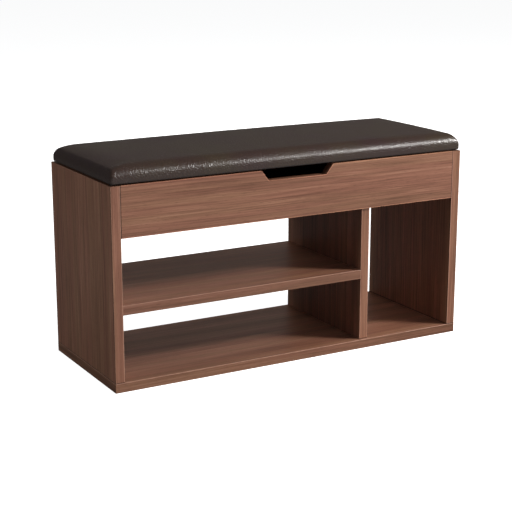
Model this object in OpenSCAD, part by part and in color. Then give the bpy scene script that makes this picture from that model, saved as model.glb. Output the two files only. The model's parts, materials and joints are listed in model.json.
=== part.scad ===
// Entryway bench: an open shoe rack with a shallow storage box under a padded, hinged seat.
// X runs along the width (right positive), Y from front to rear, Z up.
// The origin is on the floor, at the centre of the footprint. Lengths are in millimetres.

/* [Case] */
// Width of the bench
bench_w = 800; // [760:10:1000]
// Depth of the bench
bench_d = 300; // [290:5:350]
// Height of the wooden case, without the seat
case_h = 400; // [390:5:450]
// Thickness of every board of the case
board_t = 19; // [18:0.5:20]
// Height of the storage box: the apron and the back rail
box_h = 100; // [98:1:120]
// Clear width of the two left-hand shoe bays
left_bay_w = 538; // [460:2:560]
// How far the shelf and the divider stand behind the front edges
inner_setback = 6; // [2:1:12]
// How far the back rail stands in front of the rear edges
rail_inset = 5.5; // [5.5:0.5:8]
// Thickness of the edging strips
edging_t = 1; // [0.8:0.1:1.4]

/* [Finger notch] */
// Width of the notch at the top of the apron
notch_top_w = 164; // [140:2:200]
// Width of the notch at its floor
notch_floor_w = 132; // [110:2:136]
// Depth of the notch
notch_depth = 20.5; // [14:0.5:24]
// Radius of the notch's two upper corners
notch_r = 4; // [2:0.5:6]

/* [Seat] */
// Height of the seat above the case
seat_rise = 40; // [38:1:44]
// Gap between the case and the underside of the seat
seat_gap = 2.1; // [1.3:0.1:2.4]
// How far the seat stands in from the front and side faces of the case
seat_inset = 2; // [1:0.5:4]
// Thickness of the board under the padding
lid_board_t = 12; // [12:0.5:15]
// Thickness of the leather cover
cover_t = 0.8; // [0.6:0.1:1.2]
// How far the cover is turned in under the board
cover_turn = 32; // [26:1:40]
// Radius of the padding's front and rear upper edges
seat_edge_r = 11; // [10:1:14]
// Radius of the padding's upper edges at its two ends
seat_end_r = 20; // [14:1:22]
// How much higher the middle of the seat is than its shoulders
seat_crown = 4; // [3:0.5:6]

/* [Hinges] */
// Length of a hinge
hinge_l = 60; // [50:1:80]
// Distance of each hinge from the middle of the bench
hinge_x = 250; // [200:5:300]
// Thickness of a hinge leaf
leaf_t = 1; // [0.8:0.1:1]
// Radius of a hinge pin
pin_r = 1.5; // [1.2:0.1:1.6]
// Outer radius of the hinge barrel
barrel_r = 2.7; // [2.5:0.1:2.7]

/* [Stays] */
// Length of a stay's arm between its pivots
arm_l = 110; // [90:1:115]
// How far behind the arm's fixed pivot the hinge axis lies
pivot_back = 50; // [46:1:56]
// How far below the hinge axis the arm's fixed pivot lies
pivot_down = 49; // [46:1:50]
// How far below the hinge axis the pivot on the seat lies
eye_down = 12; // [11:0.5:13]
// Thickness of the arm and the link
bar_t = 2.5; // [2:0.1:2.5]
// Radius of the arm's and the link's rounded ends
bar_r = 7; // [6:0.5:8]

/* [Fasteners] */
// Radius of a wooden dowel
dowel_r = 4; // [3:0.5:4]
// Radius of a cam lock
cam_r = 7.4; // [7:0.1:7.4]
// Distance from a panel's face to the centre of the cam lock
cam_reach = 24; // [22:0.5:34]
// Radius of a case screw's smooth shank
screw_r = 3.5; // [3:0.1:3.5]

/* [Hidden] */
$fn = 48;
eps = 0.01;

// Clearances
fit = 0.05;
run_gap = 0.3;
seam = 0.1;

// Faces of the case
half_w = bench_w / 2;
half_d = bench_d / 2;
inner_x = half_w - board_t;
box_z = case_h - box_h;
floor_top = box_z + board_t;
apron_back_y = -half_d + board_t;
rail_rear_y = half_d - rail_inset;
rail_front_y = rail_rear_y - board_t;
divider_x0 = -inner_x + left_bay_w;
divider_x = divider_x0 + board_t / 2;
shelf_z = board_t + (box_z - 2 * board_t) / 2;
inner_y0 = -half_d + inner_setback;
inner_y1 = half_d;
side_x = half_w - board_t / 2;

// Seat
lid_z = case_h + seat_gap;
lid_board_z = lid_z + cover_t;
foam_z = lid_board_z + lid_board_t;
seat_top = case_h + seat_rise;
seat_x = half_w - seat_inset;
seat_y0 = -half_d + seat_inset;
seat_y1 = rail_rear_y;
skin = cover_t + 0.2;
lid_corner_r = 4;
crown_facets = 4000;
dust_inset = 18;
dust_t = 0.3;
dust_z = lid_z - dust_t;

// Hinge axis
axis_y = half_d - barrel_r;
axis_z = case_h + run_gap / 2;
leaf_w = 13.5;
leaf_y1 = axis_y - barrel_r - 0.4;
leaf_screw_y = leaf_y1 - leaf_w / 2;
leaf_screw_step = hinge_l / 3;
knuckles = 5;
hinge_screw_r = 1.4;

// Stay pivots in the YZ plane
base_pivot = [axis_y - pivot_back, axis_z - pivot_down];
eye = [axis_y - arm_l, axis_z - eye_down];
elbow = [base_pivot[0] - arm_l, base_pivot[1] - eye_down];

// Layers of a stay, measured inwards from the side panel
plate_u = 2;
drum_u = 10;
arm_u = drum_u + 0.4;
link_u = arm_u + bar_t + 0.4;
ear_u = link_u + bar_t + 0.4;
ear_t = 2;
flange_w = 20;
flange_t = 1.5;
drum_r = 13.5;
rivet_r = 3;
spindle_r = 4;
rivet_head_t = 1.2;
open_pivot_gap = 0.3;
plate_screws = [[-49, -7], [-49, 7], [-25, 0]];
bracket_screws = [-13, 13];
bracket_screw_u = ear_u + ear_t + flange_w / 2;
stay_screw_r = 1.7;

// Fastener sizes
dowel_face = 11;
dowel_edge = 19;
bolt_r = 2.9;
bolt_thread_r = 2.5;
bolt_thread_l = 11;
bolt_hole_r = 4;
cam_below = 4.5;
cap_r = 9;
cap_t = 0.8;
screw_head_r = 5;
screw_head_h = 3;
screw_thread_r = 3.1;
screw_l = 50;

// Turns about X that point a cam pocket's mouth to the rear, to the front and down
to_rear = -90;
to_front = 90;
to_down = 180;

// Cam joints: [x of the panel face, direction into the board, y, z, turn about X]
apron_y = apron_back_y - board_t / 2;
rail_y = rail_front_y + board_t / 2;
box_cam_zs = [floor_top + 18, case_h - 19];
floor_cam_ys = [-85, 85];
shelf_cam_ys = [inner_y0 + 50, inner_y1 - 50];
cam_joints = [
    for (s = [-1, 1], z = box_cam_zs) [s * inner_x, -s, apron_y, z, to_rear],
    for (s = [-1, 1], z = box_cam_zs) [s * inner_x, -s, rail_y, z, to_front],
    for (s = [-1, 1], y = floor_cam_ys) [s * inner_x, -s, y, box_z + board_t / 2, to_down],
    for (y = shelf_cam_ys) [-inner_x, 1, y, shelf_z + board_t / 2, to_down],
    for (y = shelf_cam_ys) [divider_x0, -1, y, shelf_z + board_t / 2, to_down]
];

// Dowels: [point on the joint's plane, rotation that turns Z into the board's edge]
turn_right = [0, 90, 0];
turn_left = [0, -90, 0];
turn_rear = [-90, 0, 0];
turn_front = [90, 0, 0];
turn_up = [0, 0, 0];
turn_down = [180, 0, 0];
box_dowel_z = (box_cam_zs[0] + box_cam_zs[1]) / 2;
long_dowel_xs = [-inner_x * 0.7, 0, inner_x * 0.7];
dowel_joints = [
    for (s = [-1, 1], y = [apron_y, rail_y])
        [[s * inner_x, y, box_dowel_z], s < 0 ? turn_right : turn_left],
    for (s = [-1, 1])
        [[s * inner_x, 0, box_z + board_t / 2], s < 0 ? turn_right : turn_left],
    [[-inner_x, 0, shelf_z + board_t / 2], turn_right],
    [[divider_x0, 0, shelf_z + board_t / 2], turn_left],
    for (x = long_dowel_xs) [[x, apron_back_y, box_z + board_t / 2], turn_rear],
    for (x = long_dowel_xs) [[x, rail_front_y, box_z + board_t / 2], turn_front],
    for (s = [-1, 1], y = [-60, 60]) [[s * side_x, y, board_t], turn_up],
    [[divider_x, 0, board_t], turn_up]
];

// Case screws: [point on the face that the head is flush with, rotation]
base_screw_ys = [-110, 110];
screw_joints = [
    for (x = [-side_x, divider_x, side_x], y = base_screw_ys) [[x, y, 0], turn_up],
    for (y = [-80, 80]) [[divider_x, y, floor_top], turn_down]
];

WALNUT = [0.50, 0.34, 0.26];
EDGE = [0.58, 0.40, 0.31];
LEATHER = [0.12, 0.11, 0.11];
STEEL = [0.70, 0.70, 0.72];
ZINC = [0.80, 0.78, 0.70];
BEECH = [0.85, 0.68, 0.45];
BLACK = [0.08, 0.08, 0.08];

// ---------- Shared shapes ----------

// A block between two corners
module block(lo, hi) {
    translate(lo)
        cube(hi - lo);
}

// A block whose four upright edges are rounded
module round_plate(lo, hi, r) {
    w = hi[0] - lo[0];
    d = hi[1] - lo[1];
    translate(lo)
        linear_extrude(hi[2] - lo[2]) {
            translate([r, 0])
                square([w - 2 * r, d]);
            translate([0, r])
                square([w, d - 2 * r]);
            for (x = [r, w - r], y = [r, d - r])
                translate([x, y])
                    circle(r);
        }
}

// A cone frustum or cylinder between two heights on the Z axis
module rod(r1, r2, z0, z1) {
    translate([0, 0, z0])
        cylinder(r1 = r1, r2 = r2, h = z1 - z0);
}

// Puts children at a list of [point, rotation] joints
module at_each(joints) {
    for (j = joints)
        translate(j[0])
            rotate(j[1])
                children();
}

// Puts children at the centre of each cam lock, X along its bolt and Z out of the pocket
module at_each_cam(joints) {
    for (j = joints)
        translate([j[0] + j[1] * cam_reach, j[2], j[3]])
            rotate([j[4], 0, 0])
                rotate(j[1] < 0 ? 180 : 0)
                    children();
}

// Flat bar of two rounded ends between two YZ points, from u0 to u1 along X
module bar(a, b, r, u0, u1) {
    run = b - a;
    across_x(u0, u1)
        translate(a)
            rotate(atan2(run[1], run[0])) {
                translate([0, -r])
                    square([norm(run), 2 * r]);
                circle(r);
                translate([norm(run), 0])
                    circle(r);
            }
}

// Extrudes a shape drawn in the YZ plane from u0 to u1 along X
module across_x(u0, u1) {
    translate([u0, 0, 0])
        rotate([90, 0, 90])
            linear_extrude(u1 - u0)
                children();
}

// A round bar along X at a YZ point
module rod_x(p, r, u0, u1) {
    across_x(u0, u1)
        translate(p)
            circle(r);
}

// Puts children on the left side panel's inner face, or mirrored on the right one's
module on_side(s) {
    if (s < 0)
        translate([-inner_x, 0, 0])
            children();
    else
        mirror([1, 0, 0])
            translate([-inner_x, 0, 0])
                children();
}

// ---------- Fasteners and the holes they need ----------

module dowel() {
    rod(dowel_r - 0.8, dowel_r, -dowel_face + 0.3, -dowel_face + 1.3);
    rod(dowel_r, dowel_r, -dowel_face + 1.3, dowel_edge - 1.3);
    rod(dowel_r, dowel_r - 0.8, dowel_edge - 1.3, dowel_edge - 0.3);
}

module dowel_holes() {
    at_each(dowel_joints)
        rod(dowel_r + fit, dowel_r + fit, -dowel_face, dowel_edge);
}

module case_screw() {
    difference() {
        union() {
            rod(screw_head_r, screw_r, 0, screw_head_h);
            rod(screw_r, screw_r, screw_head_h, board_t);
            rod(screw_thread_r, screw_thread_r, board_t, screw_l - 2);
            rod(screw_thread_r, 1, screw_l - 2, screw_l);
        }
        translate([0, 0, -eps])
            cylinder(r = 2.3, h = 2.5, $fn = 6);
    }
}

module case_screw_holes() {
    at_each(screw_joints) {
        rod(screw_head_r + fit, screw_r + fit, -eps, screw_head_h);
        rod(screw_r + fit, screw_r + fit, screw_head_h, board_t);
        rod(screw_thread_r + fit, screw_thread_r + fit, board_t - eps, screw_l + 1);
    }
}

// Bolt that screws into a panel's face; its head lies in the cam lock
module cam_bolt() {
    rotate([0, 90, 0]) {
        rod(1.5, bolt_thread_r, -cam_reach - bolt_thread_l, -cam_reach - bolt_thread_l + 2);
        rod(bolt_thread_r, bolt_thread_r, -cam_reach - bolt_thread_l + 2, -cam_reach);
        rod(bolt_r, bolt_r, -cam_reach, -cam_r - 0.5);
        rod(1.6, 1.6, -cam_r - 0.5, -2);
        rod(bolt_r, bolt_r, -2, 1);
    }
}

module cam_lock() {
    top = board_t / 2 - cap_t / 2;
    difference() {
        rod(cam_r, cam_r, -cam_below + 0.2, top);
        rotate([0, 90, 0])
            rod(bolt_r + 0.3, bolt_r + 0.3, -cam_r - 1, 1.5);
        for (a = [0, 90])
            rotate([0, 0, a])
                block([-4.2, -0.8, top - 2.2], [4.2, 0.8, top + eps]);
    }
}

module cam_cap() {
    rod(cap_r, cap_r, board_t / 2, board_t / 2 + cap_t / 2);
    rod(cap_r, cap_r - cap_t / 2, board_t / 2 + cap_t / 2, board_t / 2 + cap_t);
}

module cam_holes() {
    at_each_cam(cam_joints) {
        rod(cam_r + fit, cam_r + fit, -cam_below, board_t / 2 + eps);
        rotate([0, 90, 0]) {
            rod(bolt_hole_r, bolt_hole_r, -cam_reach, 0);
            rod(bolt_thread_r + fit, bolt_thread_r + fit,
                -cam_reach - bolt_thread_l - 0.5, -cam_reach + eps);
        }
    }
}

module case_holes() {
    dowel_holes();
    case_screw_holes();
    cam_holes();
}

// Countersunk wood screw that starts at the origin and runs along Z
module wood_screw(r, l) {
    difference() {
        union() {
            rod(2 * r, r, 0, r);
            rod(r, r, r, l - 2);
            rod(r, 0.3, l - 2, l);
        }
        for (a = [0, 90])
            rotate([0, 0, a])
                block([-r, -0.3, -eps], [r, 0.3, 0.6]);
    }
}

module wood_screw_hole(r, l) {
    rod(2 * r + fit, r + fit, -eps, r);
    rod(r + fit, r + fit, r - eps, l + 0.3);
}

// ---------- Edging ----------

// Edging strip, l long on the Z axis and as wide as a board on the X axis. Its glued face is on
// the XZ plane, and its outer face, with rounded edges, looks to the front.
module strip(l) {
    r = 0.45 * edging_t;
    w = board_t / 2;
    linear_extrude(l, center = true) {
        translate([-w, -edging_t + r])
            square([2 * w, edging_t - r]);
        translate([-w + r, -edging_t])
            square([2 * (w - r), r]);
        for (x = [-w + r, w - r])
            translate([x, -edging_t + r])
                circle(r);
    }
}

// Strips on the front and rear edges of a level board
module level_edging(x0, x1, y0, y1, z) {
    for (turn = [0, 180])
        translate([(x0 + x1) / 2, turn == 0 ? y0 + edging_t : y1 - edging_t, z + board_t / 2])
            rotate([0, 90, 0])
                rotate(turn)
                    strip(x1 - x0);
}

// Strips on the front and rear edges of an upright board
module upright_edging(x0, y0, y1, z0, z1) {
    for (turn = [0, 180])
        translate([x0 + board_t / 2, turn == 0 ? y0 + edging_t : y1 - edging_t, (z0 + z1) / 2])
            rotate(turn)
                strip(z1 - z0);
}

// ---------- Boards ----------

module base_panel() {
    color(WALNUT)
        difference() {
            block([-half_w + edging_t, -half_d + edging_t, 0],
                  [half_w - edging_t, half_d - edging_t, board_t]);
            case_holes();
        }
}

module base_edging() {
    color(EDGE) {
        level_edging(-half_w, half_w, -half_d, half_d, 0);
        for (s = [-1, 1])
            translate([s * (half_w - edging_t), 0, board_t / 2])
                rotate([0, 90, s * 90])
                    strip(bench_d - 2 * (edging_t + seam));
    }
}

module side_panel(s) {
    color(WALNUT)
        difference() {
            on_side(s)
                block([-board_t, -half_d + edging_t, board_t],
                      [0, half_d - edging_t, case_h - edging_t]);
            case_holes();
            stay_screws_at(s)
                wood_screw_hole(stay_screw_r, 14);
        }
}

module side_edging(s) {
    color(EDGE)
        on_side(s) {
            upright_edging(-board_t, -half_d, half_d, board_t, case_h);
            translate([-board_t / 2, 0, case_h - edging_t])
                rotate([-90, 0, 0])
                    strip(bench_d - 2 * (edging_t + seam));
        }
}

module divider_panel() {
    color(WALNUT)
        difference() {
            block([divider_x0, inner_y0 + edging_t, board_t],
                  [divider_x0 + board_t, inner_y1 - edging_t, box_z]);
            case_holes();
        }
}

module divider_edging() {
    color(EDGE)
        upright_edging(divider_x0, inner_y0, inner_y1, board_t, box_z);
}

module shelf_panel() {
    color(WALNUT)
        difference() {
            block([-inner_x, inner_y0 + edging_t, shelf_z],
                  [divider_x0, inner_y1 - edging_t, shelf_z + board_t]);
            case_holes();
        }
}

module shelf_edging() {
    color(EDGE)
        level_edging(-inner_x, divider_x0, inner_y0, inner_y1, shelf_z);
}

module storage_floor() {
    color(WALNUT)
        difference() {
            block([-inner_x, apron_back_y, box_z], [inner_x, rail_front_y, floor_top]);
            case_holes();
        }
}

// The notch in the XZ plane, grown by e all round
module notch_shape(e) {
    a = notch_top_w / 2;
    b = notch_floor_w / 2;
    k = (a - b) / notch_depth;
    slant = sqrt(1 + k * k);
    r = notch_r - e;
    top = case_h - e;
    floor_z = case_h - notch_depth - e;
    grow = e * slant;
    // Half-width of the sloping side at height z
    function side_at(z) = b + k * (z - case_h + notch_depth) + grow;
    above = case_h + 1;
    polygon([
        [-side_at(floor_z), floor_z], [side_at(floor_z), floor_z],
        [side_at(above), above], [-side_at(above), above]
    ]);
    // Centre of the rounded upper corner, and where it meets the sloping side
    cx = side_at(top - r) + r * slant;
    meet = [cx - r / slant, top - r + r * k / slant];
    for (s = [-1, 1])
        scale([s, 1])
            difference() {
                polygon([meet, [cx, top], [cx, above], [side_at(above) - 1, above]]);
                translate([cx, top - r])
                    circle(r);
            }
}

// The apron's outline in the XZ plane, e smaller than its full height at the top and bottom
module apron_shape(e) {
    difference() {
        translate([-inner_x, box_z + e])
            square([2 * inner_x, box_h - 2 * e]);
        notch_shape(e);
    }
}

// Extrudes a shape drawn in the XZ plane through the apron's thickness
module through_apron() {
    translate([0, apron_back_y, 0])
        rotate([90, 0, 0])
            linear_extrude(board_t)
                children();
}

module front_apron() {
    color(WALNUT)
        difference() {
            through_apron()
                apron_shape(edging_t);
            case_holes();
        }
}

module apron_edging() {
    color(EDGE)
        through_apron()
            difference() {
                apron_shape(0);
                apron_shape(edging_t);
            }
}

module back_rail() {
    color(WALNUT)
        difference() {
            block([-inner_x, rail_front_y, box_z + edging_t],
                  [inner_x, rail_rear_y, case_h - edging_t]);
            case_holes();
            leaf_recesses();
            hinge_case_screws_at()
                wood_screw_hole(hinge_screw_r, 16);
        }
}

module back_rail_edging() {
    color(EDGE)
        difference() {
            for (z = [box_z, case_h - edging_t])
                block([-inner_x, rail_front_y, z], [inner_x, rail_rear_y, z + edging_t]);
            leaf_recesses();
            hinge_case_screws_at()
                wood_screw_hole(hinge_screw_r, 16);
        }
}

// Recesses in the rail's top that the case leaves lie flush in
module leaf_recesses() {
    for (s = [-1, 1])
        at_hinge(s)
            block([-hinge_l / 2, leaf_y1 - leaf_w, case_h - leaf_t],
                  [hinge_l / 2, half_d, case_h + 1]);
}

// ---------- Case fasteners ----------

module cam_locks() {
    color(ZINC)
        at_each_cam(cam_joints)
            cam_lock();
}

module cam_bolts() {
    color(STEEL)
        at_each_cam(cam_joints)
            cam_bolt();
}

module cam_caps() {
    color(EDGE)
        at_each_cam(cam_joints)
            cam_cap();
}

module dowels() {
    color(BEECH)
        at_each(dowel_joints)
            dowel();
}

module case_screws() {
    color(ZINC)
        at_each(screw_joints)
            case_screw();
}

// Caps over the screw heads in the storage box
module case_screw_caps() {
    color(EDGE)
        for (j = screw_joints)
            if (j[0][2] > 0)
                translate(j[0]) {
                    rod(6.5, 6.5, 0, 0.4);
                    rod(6.5, 6.1, 0.4, 0.8);
                }
}

// Rubber dots that the closed seat rests on
module lid_bumpers() {
    color(BLACK)
        for (s = [-1, 1])
            translate([s * side_x, -half_d + 14, case_h]) {
                rod(5, 5, 0, seat_gap - 1);
                rod(5, 4, seat_gap - 1, seat_gap - fit);
            }
}

// ---------- Seat ----------

// View of the padded seat, w wide and centred, its flat bottom at z0: upright sides, rounded
// shoulders of radius r and a low crown between them
module seat_profile(w, z0, top, r, crown) {
    shoulder = top - crown;
    flat = w / 2 - r;
    crown_r = (flat * flat + crown * crown) / (2 * max(crown, eps));
    translate([-w / 2, z0])
        square([w, shoulder - r - z0]);
    translate([-flat, z0])
        square([2 * flat, shoulder - z0]);
    for (s = [-1, 1])
        scale([s, 1])
            intersection() {
                translate([flat, shoulder - r])
                    circle(r);
                translate([flat - eps, shoulder - r])
                    square([r + 1, r + 1]);
            }
    if (crown > 0)
        intersection() {
            translate([0, top - crown_r])
                circle(crown_r, $fn = crown_facets);
            translate([-flat, shoulder - eps])
                square([2 * flat, 2 * crown]);
        }
}

// Padded block, drawn in by d on every face but the bottom. It is crowned from front to rear.
module seat_block(d, z0) {
    mid_y = (seat_y0 + seat_y1) / 2;
    w = 2 * (seat_x - d);
    l = seat_y1 - seat_y0 - 2 * d;
    top = seat_top - d;
    translate([0, mid_y, 0])
        intersection() {
            translate([0, l / 2 + 1, 0])
                rotate([90, 0, 0])
                    linear_extrude(l + 2)
                        seat_profile(w, z0, top + 1, seat_end_r - d, 0);
            across_x(-w / 2 - 1, w / 2 + 1)
                seat_profile(l, z0, top, seat_edge_r - d, seat_crown);
        }
}

module lid_board() {
    color(BEECH)
        difference() {
            round_plate([-seat_x + skin, seat_y0 + skin, lid_board_z],
                        [seat_x - skin, seat_y1 - skin, foam_z], lid_corner_r);
            lid_screw_holes();
        }
}

module lid_screw_holes() {
    hinge_lid_screws_at()
        wood_screw_hole(hinge_screw_r, 11);
    stay_lid_screws_at()
        wood_screw_hole(stay_screw_r, 13);
}

module seat_foam() {
    color("khaki")
        seat_block(skin, foam_z);
}

module seat_cover() {
    color(LEATHER)
        difference() {
            seat_block(0, lid_z);
            seat_block(cover_t, lid_board_z);
            block([-seat_x + cover_turn, seat_y0 + cover_turn, 0],
                  [seat_x - cover_turn, seat_y1 - cover_turn, lid_board_z + 1]);
            lid_screw_holes();
        }
}

module dust_cover() {
    color(BLACK)
        difference() {
            block([-seat_x + dust_inset, seat_y0 + dust_inset, dust_z],
                  [seat_x - dust_inset, seat_y1 - dust_inset, lid_z]);
            stay_lid_screws_at()
                wood_screw_hole(stay_screw_r, 13);
        }
}

// Staple along X with its back on the XY plane and its legs up
module staple(back_w, leg) {
    wire = 0.6;
    block([-back_w / 2, -wire / 2, 0], [back_w / 2, wire / 2, wire]);
    for (s = [-1, 1])
        translate([s * (back_w / 2 - wire / 2), 0, leg / 2])
            cube([wire, wire, leg], center = true);
}

// A closed row of staples, d in from the seat's edges, about pitch apart
module staple_row(d, pitch, z) {
    lx = seat_x - d;
    y0 = seat_y0 + d;
    y1 = seat_y1 - d;
    nx = floor(2 * lx / pitch);
    ny = floor((y1 - y0) / pitch);
    for (i = [0:nx - 1], y = [y0, y1])
        translate([-lx + (i + 0.5) * 2 * lx / nx, y, z])
            staple(10, 6);
    for (i = [0:ny - 1], s = [-1, 1])
        translate([s * lx, y0 + (i + 0.5) * (y1 - y0) / ny, z])
            rotate([0, 0, 90])
                staple(10, 6);
}

module cover_staples() {
    color(STEEL)
        staple_row(cover_turn - 6, 55, lid_z);
}

module dust_cover_staples() {
    color(STEEL)
        staple_row(dust_inset + 3, 70, dust_z - 0.5);
}

// ---------- Hinges ----------

module at_hinge(s) {
    translate([s * hinge_x, 0, 0])
        children();
}

module leaf_screw_xs() {
    for (i = [-1, 0, 1])
        translate([i * leaf_screw_step, leaf_screw_y, 0])
            children();
}

module hinge_case_screws_at() {
    for (s = [-1, 1])
        at_hinge(s)
            leaf_screw_xs()
                translate([0, 0, case_h])
                    rotate([180, 0, 0])
                        children();
}

module hinge_lid_screws_at() {
    for (s = [-1, 1])
        at_hinge(s)
            leaf_screw_xs()
                translate([0, 0, lid_z - leaf_t])
                    children();
}

// Knuckle i of the barrel with its neck, reaching from the leaf's plane z0 to z1
module knuckle(i, z0, z1, bore) {
    step = hinge_l / knuckles;
    x0 = -hinge_l / 2 + i * step + run_gap / 2;
    x1 = x0 + step - run_gap;
    difference() {
        union() {
            rod_x([axis_y, axis_z], barrel_r, x0, x1);
            block([x0, leaf_y1 - 1, z0], [x1, axis_y, z1]);
        }
        rod_x([axis_y, axis_z], bore, x0 - 1, x1 + 1);
    }
}

// Leaf from z0 to z1 that owns every second knuckle, starting with the first one
module leaf(z0, z1, first, bore) {
    block([-hinge_l / 2, leaf_y1 - leaf_w, z0], [hinge_l / 2, leaf_y1, z1]);
    for (i = [first:2:knuckles - 1])
        knuckle(i, z0, z1, bore);
}

module hinge_case_leaf(s) {
    color(STEEL)
        difference() {
            at_hinge(s)
                leaf(case_h - leaf_t, case_h, 0, pin_r + 0.02);
            hinge_case_screws_at()
                wood_screw_hole(hinge_screw_r, 16);
        }
}

module hinge_lid_leaf(s) {
    color(STEEL)
        difference() {
            at_hinge(s)
                leaf(lid_z - leaf_t, lid_z, 1, pin_r + fit);
            hinge_lid_screws_at()
                wood_screw_hole(hinge_screw_r, 11);
        }
}

module hinge_pin(s) {
    head_t = 1;
    end = hinge_l / 2;
    color(STEEL)
        at_hinge(s) {
            rod_x([axis_y, axis_z], pin_r, -end, end);
            for (x = [-end - head_t, end])
                rod_x([axis_y, axis_z], pin_r + 0.7, x, x + head_t);
        }
}

module hinge_case_screws() {
    color(STEEL)
        hinge_case_screws_at()
            wood_screw(hinge_screw_r, 16);
}

module hinge_lid_screws() {
    color(STEEL)
        hinge_lid_screws_at()
            wood_screw(hinge_screw_r, 11);
}

// ---------- Seat stays ----------

module stay_screws_at(s) {
    on_side(s)
        for (p = plate_screws)
            translate([plate_u, base_pivot[0] + p[0], base_pivot[1] + p[1]])
                rotate([0, -90, 0])
                    children();
}

module stay_lid_screws_at() {
    for (s = [-1, 1])
        on_side(s)
            for (dy = bracket_screws)
                translate([bracket_screw_u, eye[0] + dy, dust_z - flange_t])
                    children();
}

// Plate that is screwed to the side panel
module stay_plate(s) {
    r = 14;
    color(STEEL)
        difference() {
            on_side(s)
                bar(base_pivot + [-45, 0], base_pivot, r, 0, plate_u);
            stay_screws_at(s)
                wood_screw_hole(stay_screw_r, 14);
        }
}

// Damper drum with the spindle that the arm turns on
module stay_damper(s) {
    color(BLACK)
        on_side(s) {
            rod_x(base_pivot, drum_r, plate_u, drum_u - 1);
            rod_x(base_pivot, drum_r - 1.5, drum_u - 1, drum_u);
            rod_x(base_pivot, spindle_r, drum_u, arm_u + bar_t + 0.2);
            rod_x(base_pivot, spindle_r + 2, arm_u + bar_t + 0.2, arm_u + bar_t + 1.6);
        }
}

module stay_arm(s) {
    color(STEEL)
        on_side(s)
            difference() {
                union() {
                    bar(elbow, base_pivot, bar_r, arm_u, arm_u + bar_t);
                    rod_x(base_pivot, bar_r + 3, arm_u, arm_u + bar_t);
                }
                rod_x(base_pivot, spindle_r + fit, 0, 2 * arm_u);
                rod_x(elbow, rivet_r + 0.02, 0, 2 * arm_u);
            }
}

module stay_elbow_rivet(s) {
    color(ZINC)
        on_side(s) {
            rod_x(elbow, rivet_r + 2, arm_u - rivet_head_t, arm_u);
            rod_x(elbow, rivet_r, arm_u, ear_u - 0.2);
            rod_x(elbow, rivet_r + 2, ear_u - 0.2, ear_u - 0.2 + rivet_head_t);
        }
}

module stay_link(s) {
    color(STEEL)
        on_side(s)
            difference() {
                bar(elbow, eye, bar_r, link_u, link_u + bar_t);
                rod_x(elbow, rivet_r + fit, link_u - 1, ear_u);
                rod_x(eye, rivet_r + open_pivot_gap, link_u - 1, ear_u);
            }
}

module stay_lid_bracket(s) {
    flange_z = dust_z - flange_t;
    half_l = 22;
    color(STEEL)
        difference() {
            on_side(s) {
                bar(eye, [eye[0], dust_z - bar_r], bar_r, ear_u, ear_u + ear_t);
                block([ear_u, eye[0] - bar_r, eye[1]],
                      [ear_u + ear_t, eye[0] + bar_r, dust_z]);
                block([ear_u, eye[0] - half_l, flange_z],
                      [ear_u + ear_t + flange_w, eye[0] + half_l, dust_z]);
            }
            on_side(s)
                rod_x(eye, rivet_r + 0.02, link_u, ear_u + 2 * ear_t);
            stay_lid_screws_at()
                wood_screw_hole(stay_screw_r, 13);
        }
}

// Pin in the seat bracket's ear that the link hangs on
module stay_eye_pin(s) {
    color(ZINC)
        on_side(s) {
            rod_x(eye, rivet_r + 2, link_u - 0.2 - rivet_head_t, link_u - 0.2);
            rod_x(eye, rivet_r, link_u - 0.2, ear_u + ear_t);
            rod_x(eye, rivet_r + 2, ear_u + ear_t, ear_u + ear_t + rivet_head_t);
        }
}

module stay_case_screws() {
    color(ZINC)
        for (s = [-1, 1])
            stay_screws_at(s)
                wood_screw(stay_screw_r, 14);
}

module stay_lid_screws() {
    color(ZINC)
        stay_lid_screws_at()
            wood_screw(stay_screw_r, 13);
}

// ---------- The bench ----------

base_panel();
side_panel(-1);  // left_side_panel
side_panel(1);  // right_side_panel
divider_panel();
shelf_panel();
storage_floor();
front_apron();
back_rail();
base_edging();
side_edging(-1);  // left_side_edging
side_edging(1);  // right_side_edging
divider_edging();
shelf_edging();
apron_edging();
back_rail_edging();
cam_locks();
cam_bolts();
cam_caps();
dowels();
case_screws();
case_screw_caps();
lid_board();
seat_foam();
seat_cover();
dust_cover();
cover_staples();
dust_cover_staples();
hinge_case_leaf(-1);  // left_hinge_case_leaf
hinge_case_leaf(1);  // right_hinge_case_leaf
hinge_lid_leaf(-1);  // left_hinge_lid_leaf
hinge_lid_leaf(1);  // right_hinge_lid_leaf
hinge_pin(-1);  // left_hinge_pin
hinge_pin(1);  // right_hinge_pin
hinge_case_screws();
hinge_lid_screws();
stay_plate(-1);  // left_stay_plate
stay_plate(1);  // right_stay_plate
stay_damper(-1);  // left_stay_damper
stay_damper(1);  // right_stay_damper
stay_arm(-1);  // left_stay_arm
stay_arm(1);  // right_stay_arm
stay_link(-1);  // left_stay_link
stay_link(1);  // right_stay_link
stay_elbow_rivet(-1);  // left_stay_elbow_rivet
stay_elbow_rivet(1);  // right_stay_elbow_rivet
stay_lid_bracket(-1);  // left_stay_lid_bracket
stay_lid_bracket(1);  // right_stay_lid_bracket
stay_eye_pin(-1);  // left_stay_eye_pin
stay_eye_pin(1);  // right_stay_eye_pin
stay_case_screws();
stay_lid_screws();
lid_bumpers();
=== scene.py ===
import json
import math

import bpy
import numpy as np
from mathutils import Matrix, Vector, noise


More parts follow.
